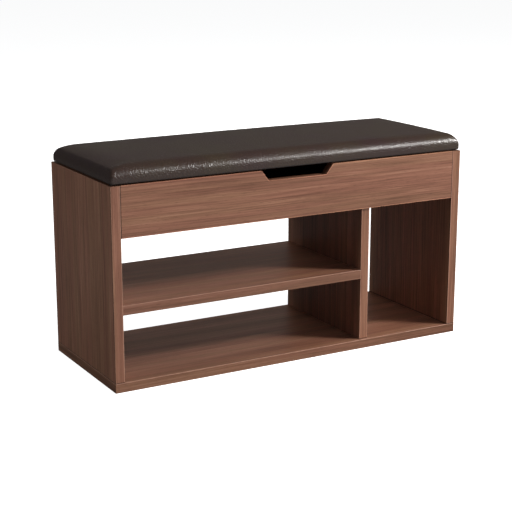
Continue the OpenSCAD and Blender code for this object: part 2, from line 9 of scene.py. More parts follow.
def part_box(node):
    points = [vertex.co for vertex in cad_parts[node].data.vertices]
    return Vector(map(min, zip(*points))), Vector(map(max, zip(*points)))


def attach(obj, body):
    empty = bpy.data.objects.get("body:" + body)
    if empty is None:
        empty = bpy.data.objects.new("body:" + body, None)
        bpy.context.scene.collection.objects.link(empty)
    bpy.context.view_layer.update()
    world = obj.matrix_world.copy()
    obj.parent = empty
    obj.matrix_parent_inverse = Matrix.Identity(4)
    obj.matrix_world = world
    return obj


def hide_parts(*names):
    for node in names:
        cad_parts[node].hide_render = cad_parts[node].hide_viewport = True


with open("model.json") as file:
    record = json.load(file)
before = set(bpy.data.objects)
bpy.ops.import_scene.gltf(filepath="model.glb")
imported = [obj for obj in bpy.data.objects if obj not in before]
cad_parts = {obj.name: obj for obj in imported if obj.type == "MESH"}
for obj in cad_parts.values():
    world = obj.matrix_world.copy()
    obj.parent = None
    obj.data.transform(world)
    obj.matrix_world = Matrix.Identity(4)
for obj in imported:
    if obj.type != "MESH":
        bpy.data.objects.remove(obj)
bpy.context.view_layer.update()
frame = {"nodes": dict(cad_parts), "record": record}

MM = 0.001


# ---------- Node helpers ----------

def srgb(r, g, b):
    """A colour given as 0-255 screen values, as the shader wants it."""
    def linear(c):
        c /= 255
        return c / 12.92 if c <= 0.04045 else ((c + 0.055) / 1.055) ** 2.4
    return (linear(r), linear(g), linear(b), 1)


class Finish:
    """A material on Principled BSDF, with one short call for each node that this scene uses."""

    def __init__(self, name, **sockets):
        self.material = bpy.data.materials.new(name)
        self.material.use_nodes = True
        self.nodes = self.material.node_tree.nodes
        self.shader = self.nodes["Principled BSDF"]
        for key, value in sockets.items():
            self.shader.inputs[key.replace("_", " ")].default_value = value
        self.place = self.nodes.new("ShaderNodeTexCoord").outputs["Object"]

    def put(self, socket, value):
        if isinstance(value, bpy.types.NodeSocket):
            self.material.node_tree.links.new(value, socket)
        elif value is not None:
            socket.default_value = value

    def scaled(self, scale, shift=(0, 0, 0), vector=None):
        n = self.nodes.new("ShaderNodeMapping")
        self.put(n.inputs["Vector"], vector or self.place)
        n.inputs["Scale"].default_value = scale
        n.inputs["Location"].default_value = shift
        return n.outputs["Vector"]

    def turned(self, angles):
        n = self.nodes.new("ShaderNodeMapping")
        self.put(n.inputs["Vector"], self.place)
        n.inputs["Rotation"].default_value = angles
        return n.outputs["Vector"]

    def noise(self, vector, scale=1, detail=2, roughness=0.5, output="Fac"):
        n = self.nodes.new("ShaderNodeTexNoise")
        self.put(n.inputs["Vector"], vector)
        n.inputs["Scale"].default_value = scale
        n.inputs["Detail"].default_value = detail
        n.inputs["Roughness"].default_value = roughness
        return n.outputs[output]

    def cells(self, vector, scale, feature="F1", randomness=1):
        n = self.nodes.new("ShaderNodeTexVoronoi")
        n.feature = feature
        self.put(n.inputs["Vector"], vector)
        n.inputs["Scale"].default_value = scale
        n.inputs["Randomness"].default_value = randomness
        return n.outputs["Distance"]

    def math(self, operation, a, b=None, c=None):
        n = self.nodes.new("ShaderNodeMath")
        n.operation = operation
        for socket, value in zip(n.inputs, (a, b, c)):
            self.put(socket, value)
        return n.outputs[0]

    def vector_math(self, operation, a, b):
        n = self.nodes.new("ShaderNodeVectorMath")
        n.operation = operation
        self.put(n.inputs[0], a)
        self.put(n.inputs[1], b)
        return n.outputs[0]

    def span(self, value, low, high, to_low=0, to_high=1):
        """value from low..high to to_low..to_high, with soft ends."""
        n = self.nodes.new("ShaderNodeMapRange")
        n.interpolation_type = "SMOOTHSTEP"
        for socket, v in zip(n.inputs, (value, low, high, to_low, to_high)):
            self.put(socket, v)
        return n.outputs[0]

    def axis(self, name, vector=None):
        n = self.nodes.new("ShaderNodeSeparateXYZ")
        self.put(n.inputs[0], vector or self.place)
        return n.outputs[name.upper()]

    def vector(self, x, y, z):
        n = self.nodes.new("ShaderNodeCombineXYZ")
        for socket, value in zip(n.inputs, (x, y, z)):
            self.put(socket, value)
        return n.outputs[0]

    def ramp(self, value, stops):
        n = self.nodes.new("ShaderNodeValToRGB")
        self.put(n.inputs[0], value)
        ramp = n.color_ramp
        while len(ramp.elements) < len(stops):
            ramp.elements.new(0.5)
        for element, (at, colour) in zip(ramp.elements, stops):
            element.position = at
            element.color = colour
        return n.outputs[0]

    def mix(self, factor, a, b, blend="MIX", kind="RGBA"):
        n = self.nodes.new("ShaderNodeMix")
        n.data_type = kind
        first = {"RGBA": 6, "VECTOR": 4}[kind]
        if kind == "RGBA":
            n.blend_type = blend
        self.put(n.inputs[0], factor)
        self.put(n.inputs[first], a)
        self.put(n.inputs[first + 1], b)
        return n.outputs[{"RGBA": 2, "VECTOR": 1}[kind]]

    def bump(self, height, distance, strength=1.0, below=None):
        n = self.nodes.new("ShaderNodeBump")
        n.inputs["Strength"].default_value = strength
        n.inputs["Distance"].default_value = distance
        self.put(n.inputs["Height"], height)
        self.put(n.inputs["Normal"], below)
        return n.outputs[0]

    def light_path(self, output):
        return self.nodes.new("ShaderNodeLightPath").outputs[output]

    def finish(self, colour=None, roughness=None, normal=None):
        self.put(self.shader.inputs["Base Color"], colour)
        self.put(self.shader.inputs["Roughness"], roughness)
        self.put(self.shader.inputs["Normal"], normal)
        return self.material


# ---------- Wood ----------

GRAIN_AXES = {"x": 0, "y": 1, "z": 2}
# How far the figure wanders to either side of straight
WANDER = 10 * MM
# The figure's colours from the dark lines to the light bands: (place on the ramp, screen colour)
FIGURE = ((0.37, (108, 73, 57)), (0.44, (136, 95, 76)), (0.54, (158, 113, 91)),
          (0.64, (180, 135, 112)))
# Painted highlight on edges, pores, painted shade in joints, painted shade on faces, and how strong
# the last is
EDGE_HIGHLIGHT = (214, 166, 142)
PORE, SEAM_SHADE, PAINTED_SHADE = srgb(70, 44, 33), srgb(48, 27, 21), srgb(40, 24, 19)
SHADE_STRENGTH = 0.58
# Two slight casts that the colour drifts between
RED_CAST, YELLOW_CAST = (1.04, 0.965, 0.98, 1), (0.98, 0.99, 0.94, 1)
# Shares of the fine lines, and of the streaks and wide bands together, in the figure
LINES_SHARE, BROAD_SHARE = 0.32, 0.68


def walnut(name, grain, seed, tone=1.0, turned=None, arris=(), seam_shades=(), shaded=(), bold=0.38):
    """Satin walnut-grain laminate whose grain runs along one axis.

    turned = (axis, from, new grain): beyond that distance from the middle the grain turns.
    arris = (axis, place, strength) of each long edge that gets a painted highlight, lighter along
    it.
    seams = (axis, place) of each joint that the board darkens into.
    shaded = (axis, from, to) of each face darkened with painted shade, as it lies out of the light.
    bold = weight of the wide bands in the figure.
    """
    f = Finish(name)
    place = f.place
    if turned:
        axis, start, other = turned
        parts = {a: f.axis(a) for a in "xyz"}
        swap = {**parts, grain: parts[other], other: parts[grain]}
        beyond = f.math("GREATER_THAN", f.math("ABSOLUTE", parts[axis]), start)
        place = f.mix(beyond, place, f.vector(swap["x"], swap["y"], swap["z"]), kind="VECTOR")

    def along(across, length, shift=0.0):
        scale = [across] * 3
        scale[GRAIN_AXES[grain]] = length
        return f.scaled(scale, [seed * 3.7 + shift] * 3, wavy)

    wander = f.noise(f.scaled([5 if a != grain else 2.2 for a in "xyz"], [seed] * 3, place),
                     detail=1, output="Color")
    offset = f.vector_math("SUBTRACT", wander, (0.5, 0.5, 0.5))
    wavy = f.vector_math("ADD", place, f.vector_math("MULTIPLY", offset, [WANDER] * 3))

    bands = f.noise(along(30, 1.3), detail=3, roughness=0.55)
    streaks = f.noise(along(170, 3.2, 5), detail=4, roughness=0.66)
    lines = f.noise(along(460, 7, 9), detail=2, roughness=0.5)
    figure = f.math("MULTIPLY_ADD", bands, bold,
                    f.math("MULTIPLY_ADD", streaks, BROAD_SHARE - bold,
                           f.math("MULTIPLY", lines, LINES_SHARE)))
    colour = f.ramp(figure, [(at, srgb(*(c * tone for c in shade))) for at, shade in FIGURE])
    hue = f.span(f.noise(along(60, 1.4, 17), detail=2), 0.35, 0.65)
    colour = f.mix(hue, f.mix(1, colour, RED_CAST, "MULTIPLY"),
                   f.mix(1, colour, YELLOW_CAST, "MULTIPLY"))
    pores = f.span(f.noise(along(1500, 60, 23), detail=1), 0.60, 0.70)
    colour = f.mix(f.math("MULTIPLY", pores, 0.35), colour, PORE)
    rough = f.math("MULTIPLY_ADD", streaks, 0.16, 0.26)
    height = f.math("SUBTRACT", f.math("MULTIPLY", lines, 0.5), pores)
    patchy = f.span(f.noise(f.scaled((90, 90, 90)), detail=2), 0.3, 0.7, 0.6, 1.0)
    # Painted highlight: a lighter colour along each long edge, standing in for light caught by the
    # rounded arris
    for axis, at, strength in arris:
        away = f.math("ABSOLUTE", f.math("SUBTRACT", f.axis(axis), at))
        edge_lit = f.span(away, 0.4 * MM, 1.8 * MM, strength, 0)
        colour = f.mix(f.math("MULTIPLY", edge_lit, patchy), colour,
                       srgb(*(c * tone for c in EDGE_HIGHLIGHT)))
    # Painted shade: each board darkens into its joints, as into the shadowed gap between boards
    for axis, at in seam_shades:
        away = f.math("ABSOLUTE", f.math("SUBTRACT", f.axis(axis), at))
        colour = f.mix(f.span(away, 0.6 * MM, 2.2 * MM, 0.9, 0), colour, SEAM_SHADE)
    # Painted shade on the faces that lie out of the light
    for axis, start, end in shaded:
        colour = f.mix(f.span(f.axis(axis), start, end, 0, SHADE_STRENGTH), colour, PAINTED_SHADE)
    return f.finish(colour, rough, f.bump(height, 0.03 * MM, 0.6))


def pale_wood(name, light, dark, fleck):
    """Raw beech or plywood: pale, with short darker flecks along the grain."""
    f = Finish(name, Roughness=0.6)
    rings = f.noise(f.scaled((6, 90, 90)), detail=4, roughness=0.6)
    flecks = f.span(f.noise(f.scaled((260, 1400, 1400)), detail=1), 0.6, 0.72)
    colour = f.ramp(rings, [(0.3, dark), (0.7, light)])
    colour = f.mix(f.math("MULTIPLY", flecks, 0.5), colour, fleck)
    rough = f.math("MULTIPLY_ADD", rings, 0.25, 0.45)
    return f.finish(colour, rough, f.bump(f.math("ADD", rings, flecks), 0.06 * MM, 0.5))


# ---------- Leather, cloth, plastic and metal ----------

def leather():
    """Dark brown artificial leather: fine pebbled grain, drawn a little along the bias."""
    f = Finish("seat_leather", Specular_IOR_Level=0.8, Coat_Weight=0.12, Coat_Roughness=0.35)
    drawn = f.scaled((1.0, 0.45, 0.8), (0.3, 0.1, 0.7), f.turned((0.5, 0.35, 0.7)))
    pebbles = f.cells(drawn, 285, "SMOOTH_F1")
    creases = f.cells(drawn, 230, "DISTANCE_TO_EDGE")
    fine = f.noise(f.place, 2600, detail=2)
    uneven = f.noise(f.place, 38, detail=2)
    mottled = f.noise(f.place, 9, detail=5, roughness=0.6)
    colour = f.ramp(mottled, [(0.33, srgb(64, 45, 43)), (0.67, srgb(68, 55, 42))])
    valley = f.span(creases, 0.0, 0.22, 1, 0)
    colour = f.mix(f.math("MULTIPLY", valley, 0.35), colour, srgb(30, 25, 24))
    # Painted shade: the cover darkens towards black where it turns under
    low = SEAT_LOW[2]
    colour = f.mix(f.span(f.axis("z"), low, low + 4 * MM, 0.9, 0), colour, srgb(10, 9, 9))
    rough = f.math("ADD", f.span(fine, 0.3, 0.7, 0.25, 0.33), f.math("MULTIPLY", valley, 0.10))
    grain = f.math("SUBTRACT", f.math("MULTIPLY", f.math("SUBTRACT", 1.0, pebbles), 0.8),
                   f.math("MULTIPLY", valley, 0.5))
    normal = f.bump(uneven, 0.5 * MM, 0.35)
    normal = f.bump(grain, 0.5 * MM, 0.8, normal)
    normal = f.bump(fine, 0.02 * MM, 0.4, normal)
    return f.finish(colour, rough, normal)


def dust_cloth():
    """Black spun-bonded cloth: random fibres welded at a close pattern of dots."""
    f = Finish("dust_cloth", Specular_IOR_Level=0.25)
    fibres = f.noise(f.place, 1500, detail=3, roughness=0.7)
    dots = f.span(f.cells(f.place, 620, randomness=0.15), 0.18, 0.34)
    patches = f.noise(f.place, 30, detail=3)
    colour = f.ramp(fibres, [(0.35, srgb(26, 26, 27)), (0.7, srgb(52, 52, 54))])
    colour = f.mix(f.span(patches, 0.35, 0.65, 0, 0.35), colour, srgb(30, 30, 32))
    rough = f.span(fibres, 0.3, 0.7, 0.75, 0.95)
    height = f.math("ADD", f.math("MULTIPLY", fibres, 0.5), dots)
    return f.finish(colour, rough, f.bump(height, 0.12 * MM, 0.6))


def moulded(name, dark, light, rough, speck=900, relief=0.04):
    """Moulded plastic or rubber with a fine, slightly uneven surface."""
    f = Finish(name)
    grain = f.noise(f.place, speck, detail=2)
    cloud = f.noise(f.place, 45, detail=3)
    colour = f.ramp(f.math("MULTIPLY_ADD", grain, 0.4, f.math("MULTIPLY", cloud, 0.6)),
                    [(0.35, dark), (0.65, light)])
    return f.finish(colour, f.span(grain, 0.3, 0.7, rough - 0.06, rough + 0.08),
                    f.bump(grain, relief * MM, 0.6))


def plated(name, dark, light, rough, brushed):
    """Plated steel, brushed along one axis, with faint clouds in the plating."""
    f = Finish(name, Metallic=1.0)
    brush = f.noise(f.scaled(brushed), detail=3, roughness=0.6)
    cloud = f.noise(f.place, 60, detail=3)
    colour = f.ramp(f.math("MULTIPLY_ADD", brush, 0.45, f.math("MULTIPLY", cloud, 0.55)),
                    [(0.36, dark), (0.64, light)])
    worn = f.math("MULTIPLY_ADD", cloud, 0.16, f.span(brush, 0.3, 0.7, rough - 0.14, rough))
    return f.finish(colour, worn, f.bump(brush, 0.02 * MM, 0.5))


# ---------- The seat ----------

def quarter(s):
    """Height of a quarter circle, 0 to 1, at a share s of its radius from the edge."""
    s = np.clip(s, 0, 1)
    return np.sqrt(np.clip(1 - (1 - s) ** 2, 0, 1))


def crowded_lines(half, low_r, high_r, step):
    """Grid lines from -half to half, close together where the two edges are rounded."""
    turns = [1 - math.cos(math.pi / 2 * k / 9) for k in range(10)]
    low, high = -half + low_r, half - high_r
    count = round((high - low) / step)
    middle = [low + (high - low) * k / count for k in range(1, count)]
    return np.array([-half + low_r * t for t in turns] + middle
                    + [half - high_r * t for t in reversed(turns)])


def ring_of(nx, ny):
    """The grid indices round a patch's rim, in order."""
    return ([(i, 0) for i in range(nx)] + [(nx - 1, j) for j in range(1, ny)]
            + [(i, ny - 1) for i in range(nx - 2, -1, -1)] + [(0, j) for j in range(ny - 2, 0, -1)])


def mesh_object(name, points, faces):
    """A smooth-shaded mesh object in the scene."""
    mesh = bpy.data.meshes.new(name)
    mesh.from_pydata([tuple(p) for p in points], [], faces)
    mesh.update()
    mesh.shade_smooth()
    made = bpy.data.objects.new(name, mesh)
    bpy.context.scene.collection.objects.link(made)
    return made


def read_points(made):
    points = np.empty(len(made.data.vertices) * 3)
    made.data.vertices.foreach_get("co", points)
    return points.reshape(-1, 3)


def write_points(made, points):
    made.data.vertices.foreach_set("co", points.ravel())
    made.data.update()


SEAT_LOW, SEAT_HIGH = (np.array(c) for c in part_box("seat_cover"))
BOARD_LOW, BOARD_HIGH = (np.array(c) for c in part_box("lid_board"))
SEAT_MID = (SEAT_LOW + SEAT_HIGH) / 2
SEAT_HALF = (SEAT_HIGH - SEAT_LOW) / 2
# How far in from each edge the shoulder reaches the crown
LEFT_R, RIGHT_R, REAR_R = 9 * MM, 18 * MM, 19 * MM
# Over this distance the left end still slopes up a little
LEFT_SLOPE, LEFT_DROOP = 42 * MM, 0.45
# Radii of the upright corners, seen from above
LEFT_CORNER_R, RIGHT_CORNER_R, REAR_CORNER_R = 5 * MM, 2.2 * MM, 2.5 * MM
WALL_TOP = BOARD_HIGH[2] + 2.0 * MM
# Height of the crown over the walls, and how much more the middle rises across x and y
CROWN = 17.9 * MM
RISE_X, RISE_Y = 1.2 * MM, 1.6 * MM
# Over their last few millimetres the walls already lean in
BEND, LEAN = 2.6 * MM, 0.3 * MM
# The front rolls over tightly as far as 45 degrees, then gently up to the crown
ROLL_R = 18 * MM
HALFWAY = math.sqrt(0.5)
UPPER_R = (CROWN + BEND - ROLL_R * HALFWAY) / (1 - HALFWAY)
FRONT_R = ROLL_R * (1 - HALFWAY) + UPPER_R * HALFWAY
# Size of the grid's faces over the flat part of the top
GRID = 6 * MM
# The cover is turned in under the board; these rings lie between its edge and the wall, in mm
TURN_IN = 32 * MM
MARGIN_RINGS = (7, 13, 19, 25.5)
# Radius of the bottom edge, and the angles that it is drawn at
TUCK, TUCK_ANGLES = 1.8 * MM, (0.0, 0.5, 1.0, math.pi / 2)
WALL_RINGS = 5
WALL_BULGE = 0.3 * MM
# Room that the pad leaves: inside its own box, beside the board, and over the board
SLACK, RECESS, BOARD_GAP = 0.1 * MM, 0.75 * MM, 0.1 * MM
# The swelling: frames, pressure, cap on the movement, and the heights where it sets in
SWELL_FRAMES, PRESSURE, SWELL_CAP = 20, 0.3, 1.6 * MM
FREE_FROM, FREE_OVER = WALL_TOP - 4 * MM, 9 * MM
# The folds down the corners: depth, width, where they close, how far they may reach
FOLD_DEPTH, FOLD_WIDTH = 0.7 * MM, 1.6 * MM
FOLD_TOP, FOLD_FADE, FOLD_REACH = 22 * MM, 6 * MM, 7 * MM
# The small pulls that fan out from a corner: depth, reach, and how closely they follow
PULL_DEPTH, PULL_REACH, PULLS = 0.24 * MM, 17 * MM, 9
# The lived-in surface: (bumps per metre, height)
WAVES = ((24, 0.14 * MM), (75, 0.05 * MM))


def round_corners(x, y, half_x, half_y, inset=0.0):
    """Plan positions with the rectangle's corners rounded, inset from the outside."""
    front = np.where(x > 0, RIGHT_CORNER_R, LEFT_CORNER_R)
    r = np.maximum(np.where(y > 0, REAR_CORNER_R, front) - inset, 1 * MM)
    a = np.clip((np.abs(x) - half_x + r) / r, 0, 1)
    b = np.clip((np.abs(y) - half_y + r) / r, 0, 1)
    both = (a > 0) & (b > 0)
    rx = np.sign(x) * (half_x - r + r * a * np.sqrt(1 - b * b / 2))
    ry = np.sign(y) * (half_y - r + r * b * np.sqrt(1 - a * a / 2))
    return np.where(both, rx, x), np.where(both, ry, y)


def shoulder(inward, across):
    """Share of the crown reached at a distance in from the rim: an ellipse begun in the wall."""
    tall = CROWN + BEND
    start = 1 - math.sqrt(1 - (BEND / tall) ** 2)
    return np.clip((tall * quarter(inward / across + start) - BEND) / CROWN, 0, 1)


def front_roll(inward):
    """The same for the front, as two arcs."""
    depth = inward + LEAN
    lower = ROLL_R * quarter(depth / ROLL_R)
    upper = CROWN + BEND - UPPER_R * (1 - quarter(1 - (FRONT_R - depth) / UPPER_R))
    rise = np.where(depth < ROLL_R * (1 - HALFWAY), lower, upper)
    return np.clip((rise - BEND) / CROWN, 0, 1)


def seat_surface(half_x, half_y):
    """Grid of the padded top before it swells."""
    xs = crowded_lines(half_x, LEFT_R, RIGHT_R, GRID)
    ys = crowded_lines(half_y, FRONT_R, REAR_R, GRID)
    x, y = np.meshgrid(xs, ys, indexing="ij")
    crown = CROWN + RISE_X * (1 - (x / half_x) ** 2) + RISE_Y * (1 - (y / half_y) ** 2)
    droop = LEFT_DROOP * np.clip(1 - (half_x + x) / LEFT_SLOPE, 0, 1) ** 2
    over_x = shoulder(half_x + x, LEFT_R) * shoulder(half_x - x, RIGHT_R) * (1 - droop)
    over_y = front_roll(half_y + y) * shoulder(half_y - y, REAR_R)
    lift = np.minimum(over_x, over_y) * np.sqrt(np.maximum(over_x, over_y))
    return x, y, WALL_TOP + crown * lift


def build_seat():
    """The stuffed leather seat: crowned top, walls, turned-in margin and the board's recess.

    Returns the object, how many of its points may swell and how many are on the outside.
    """
    half_x, half_y = SEAT_HALF[0] - SLACK, SEAT_HALF[1] - SLACK
    rim_x, rim_y = half_x - LEAN, half_y - LEAN
    x, y, z = seat_surface(rim_x, rim_y)
    nx, ny = x.shape
    px, py = round_corners(x, y, rim_x, rim_y, LEAN)
    points = list(np.stack([px, py, z], -1).reshape(-1, 3))
    faces = [(i * ny + j, (i + 1) * ny + j, (i + 1) * ny + j + 1, i * ny + j + 1)
             for i in range(nx - 1) for j in range(ny - 1)]
    rim = ring_of(nx, ny)
    last = [i * ny + j for i, j in rim]

    # Rings below the rim: (how far in, height, how much the wall bulges)
    low = SEAT_LOW[2]
    board_under, board_top = BOARD_LOW[2] + BOARD_GAP, BOARD_HIGH[2] + BOARD_GAP
    step = (WALL_TOP - low - TUCK) / (WALL_RINGS + 1)
    rings = [(LEAN * max(0, 1 - k * step / BEND) ** 2, WALL_TOP - k * step,
              math.sin(math.pi * k / (WALL_RINGS + 1))) for k in range(1, WALL_RINGS + 1)]
    rings += [(TUCK * (1 - math.cos(a)), low + TUCK * (1 - math.sin(a)), 0) for a in TUCK_ANGLES]
    rings += [(d * MM, low, 0) for d in MARGIN_RINGS]
    rings += [(TURN_IN, low, 0), (TURN_IN, board_under, 0), (RECESS, board_under, 0),
              (RECESS, board_top, 0)]
    for inset, height, bulge in rings:
        grow = WALL_BULGE * bulge
        ring_x = half_x - inset + grow
        ring_y = half_y - inset + grow
        rx = np.array([x[i, j] for i, j in rim]) * ring_x / rim_x
        ry = np.array([y[i, j] for i, j in rim]) * ring_y / rim_y
        rx, ry = round_corners(rx, ry, ring_x, ring_y, inset)
        start = len(points)
        points += [(a, b, height) for a, b in zip(rx, ry)]
        ring = list(range(start, start + len(rim)))
        faces += [(last[k - 1], ring[k - 1], ring[k], last[k]) for k in range(len(rim))]
        last = ring

    # The foam's flat underside on the board, with the same grid as the top
    under = dict(zip(rim, last))
    shrink_x, shrink_y = (half_x - RECESS) / rim_x, (half_y - RECESS) / rim_y
    for i in range(1, nx - 1):
        for j in range(1, ny - 1):
            under[i, j] = len(points)
            points.append((x[i, j] * shrink_x, y[i, j] * shrink_y, board_top))
    faces += [(under[i, j], under[i, j + 1], under[i + 1, j + 1], under[i + 1, j])
              for i in range(nx - 1) for j in range(ny - 1)]
    moved = np.array(points) + [SEAT_MID[0], SEAT_MID[1], 0]
    free = nx * ny + WALL_RINGS * len(rim)
    return mesh_object("seat_cushion", moved, faces), free, free + len(TUCK_ANGLES) * len(rim)


def swell(pad, free_count):
    """Pressure from inside tightens the cover. No point moves further than the cap."""
    start = read_points(pad)
    held = pad.vertex_groups.new(name="held")
    free = np.clip((start[:, 2] - FREE_FROM) / FREE_OVER, 0, 1)
    free[free_count:] = 0
    for k, share in enumerate(free):
        held.add([k], 1 - float(share), "REPLACE")
    cloth = pad.modifiers.new("swell", "CLOTH")
    settings = cloth.settings
    settings.use_pressure = True
    settings.uniform_pressure_force = PRESSURE
    settings.vertex_group_mass = "held"
    settings.effector_weights.gravity = 0
    settings.quality = 5
    scene = bpy.context.scene
    for k in range(1, SWELL_FRAMES + 1):
        scene.frame_set(k)
    shown = pad.evaluated_get(bpy.context.evaluated_depsgraph_get())
    after = np.empty(len(start) * 3)
    shown.data.vertices.foreach_get("co", after)
    pad.modifiers.remove(cloth)
    pad.vertex_groups.remove(held)
    scene.frame_set(1)
    move = after.reshape(-1, 3) - start
    length = np.linalg.norm(move, axis=1, keepdims=True)
    capped = SWELL_CAP * np.tanh(length / SWELL_CAP)
    write_points(pad, start + move * capped / np.maximum(length, 1e-9))
    return float(length.max())


def tailor(pad, outside_count):
    """What the sewing leaves: folded corners, small pulls beside them, and a lived-in surface."""
    points = read_points(pad)
    normals = np.empty_like(points).ravel()
    pad.data.vertices.foreach_get("normal", normals)
    normals = normals.reshape(-1, 3)
    rel = points - SEAT_MID
    up = points[:, 2] - SEAT_LOW[2]
    # Nothing moves at the very bottom, where the cover turns in
    share = np.clip(up / (2 * MM), 0, 1)
    share[outside_count:] = 0
    shift = np.zeros(len(points))
    board_up = BOARD_HIGH[2] - SEAT_LOW[2]
    for sx in (-1, 1):
        for sy in (-1, 1):
            dx = SEAT_HALF[0] - sx * rel[:, 0]
            dy = SEAT_HALF[1] - sy * rel[:, 1]
            # The fold down the corner closes towards the shoulder, and is faint beside the board
            fold = np.exp(-((dx - dy) / FOLD_WIDTH) ** 2)
            fold *= np.clip((FOLD_TOP - up) / FOLD_FADE, 0, 1)
            fold *= 0.3 + 0.7 * np.clip((up - board_up) / (3 * MM), 0, 1)
            near = (dx < FOLD_REACH) & (dy < FOLD_REACH)
            shift -= np.where(near, fold, 0) * FOLD_DEPTH
            # Pulls fan out from the bottom of the corner over the end and the front
            run = np.maximum(dx, dy)
            angle = np.arctan2(up, run + 1e-6)
            fade = np.exp(-np.hypot(up, run) / PULL_REACH) * np.clip(run / (4 * MM), 0, 1)
            shift += PULL_DEPTH * fade * np.sin(PULLS * angle + 1.3 * sx + 0.7 * sy)
    for k in range(outside_count):
        p = Vector(points[k])
        shift[k] += sum(height * noise.noise(p * scale) for scale, height in WAVES)
    points += normals * (share * shift)[:, None]
    write_points(pad, points)


def make_seat():
    """The padded seat, which stands for the CAD model's cover and foam."""
    pad, free_count, outside_count = build_seat()
    print("seat swelled by up to", swell(pad, free_count), "m before the cap")
    tailor(pad, outside_count)
    smooth = pad.modifiers.new("smooth", "SUBSURF")
    smooth.levels = smooth.render_levels = 1
    pad.data.materials.append(leather())
    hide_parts("seat_cover", "seat_foam")
    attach(pad, "seat")


# ---------- Dust cover ----------

CLOTH_T, HEM = 0.12 * MM, 10 * MM


def make_dust_cover():
    """Thin cloth stapled under the seat, with a folded hem; it hangs a little in the middle."""
    low, high = (np.array(c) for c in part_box("dust_cover"))
    nx, ny = 153, 53
    xs = np.linspace(low[0], high[0], nx)
    ys = np.linspace(low[1], high[1], ny)
    x, y = np.meshgrid(xs, ys, indexing="ij")
    to_edge = np.minimum(np.minimum(x - low[0], high[0] - x), np.minimum(y - low[1], high[1] - y))
    hang = 0.10 * MM * (1 - np.exp(-to_edge / (25 * MM)))
    ripple = np.array([[noise.noise(Vector((a * 18, b * 30, 0.3))) for b in ys] for a in xs])
    hang = hang + 0.06 * MM * ripple * np.clip(to_edge / HEM, 0, 1)
    above = high[2] - 0.02 * MM - np.maximum(hang, 0)
    thick = CLOTH_T * (1 + np.clip((HEM - to_edge) / (1.2 * MM), 0, 1))
    sides = [np.stack([x, y, above], -1), np.stack([x, y, above - thick], -1)]
    points = np.concatenate([s.reshape(-1, 3) for s in sides])
    lower = nx * ny
    faces = []
    for i in range(nx - 1):
        for j in range(ny - 1):
            quad = (i * ny + j, (i + 1) * ny + j, (i + 1) * ny + j + 1, i * ny + j + 1)
            faces += [quad, tuple(lower + v for v in reversed(quad))]
    rim = [i * ny + j for i, j in ring_of(nx, ny)]
    faces += [(rim[k - 1], lower + rim[k - 1], lower + rim[k], rim[k]) for k in range(len(rim))]
    cloth = mesh_object("dust_cloth_panel", points, faces)
    cloth.data.materials.append(dust_cloth())
    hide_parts("dust_cover")
    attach(cloth, "seat")


# ---------- Finishes of the CAD nodes ----------

# The edging strips' thickness, with a hair to spare
STRIP_T = 1.01 * MM


def wood_finishes():
    """One walnut for each board and edging strip, so that no two have the same figure."""
    apron_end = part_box("front_apron")[1][0]
    base_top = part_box("base_panel")[1][2]
    case_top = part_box("left_side_edging")[1][2]
    base_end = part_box("base_edging")[1][0]
    boards = {
        "base_panel": ("x", 1), "divider_panel": ("z", 4), "shelf_panel": ("x", 5),
        "storage_floor": ("x", 6), "back_rail": ("x", 7),
    }
    made = {node: walnut(node, grain, seed) for node, (grain, seed) in boards.items()}
    for node, seed in (("left_side_panel", 2), ("right_side_panel", 3)):
        low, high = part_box(node)
        joints = [("z", base_top), ("y", low[1]), ("y", high[1])]
        made[node] = walnut(node, "z", seed, seam_shades=joints, bold=0.22)
    ends = [("x", -apron_end), ("x", apron_end)]
    made["front_apron"] = walnut("front_apron", "x", 8, seam_shades=ends)
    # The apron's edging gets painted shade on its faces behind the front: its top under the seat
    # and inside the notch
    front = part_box("apron_edging")[0][1]
    # Tone 1.34: the whole strip is lighter, a painted highlight along the apron's top and notch
    # edges
    made["apron_edging"] = walnut("apron_edging", "x", 8, tone=1.34, seam_shades=ends,
                                  shaded=[("y", front + 0.3 * MM, front + 1.0 * MM)])
    made["back_rail_edging"] = walnut("back_rail_edging", "x", 7, tone=1.05)
    foot = [("z", base_top)]
    # Painted shade on the side edgings' top strips, under the seat
    top = [("z", case_top - 0.3 * MM, case_top - 0.1 * MM)]
    up = ("z", case_top - STRIP_T, "y")
    for node, grain, across, edge_lights, seed, tone, turned, joints, shaded in (
        ("base_edging", "x", "z", (0, 0.9), 9, 0.94, ("x", base_end - STRIP_T, "y"), (), ()),
        ("left_side_edging", "z", "x", (0.2, 0.8), 10, 0.97, up, foot, top),
        ("right_side_edging", "z", "x", (0.7, 0.3), 11, 1.05, up, foot, top),
        ("divider_edging", "z", "x", (0.5, 0.5), 12, 1.04, None, foot, ()),
        ("shelf_edging", "x", "z", (0, 0.8), 13, 0.89, None, (), ()),
    ):
        # The fourth column gives the painted highlight's strength on each of the strip's two long
        # edges
        k = GRAIN_AXES[across]
        edges = [corner[k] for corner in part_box(node)]
        arris = [(across, at, strength) for at, strength in zip(edges, edge_lights)]
        made[node] = walnut(node, grain, seed, tone, turned, arris, joints, shaded)
    return made


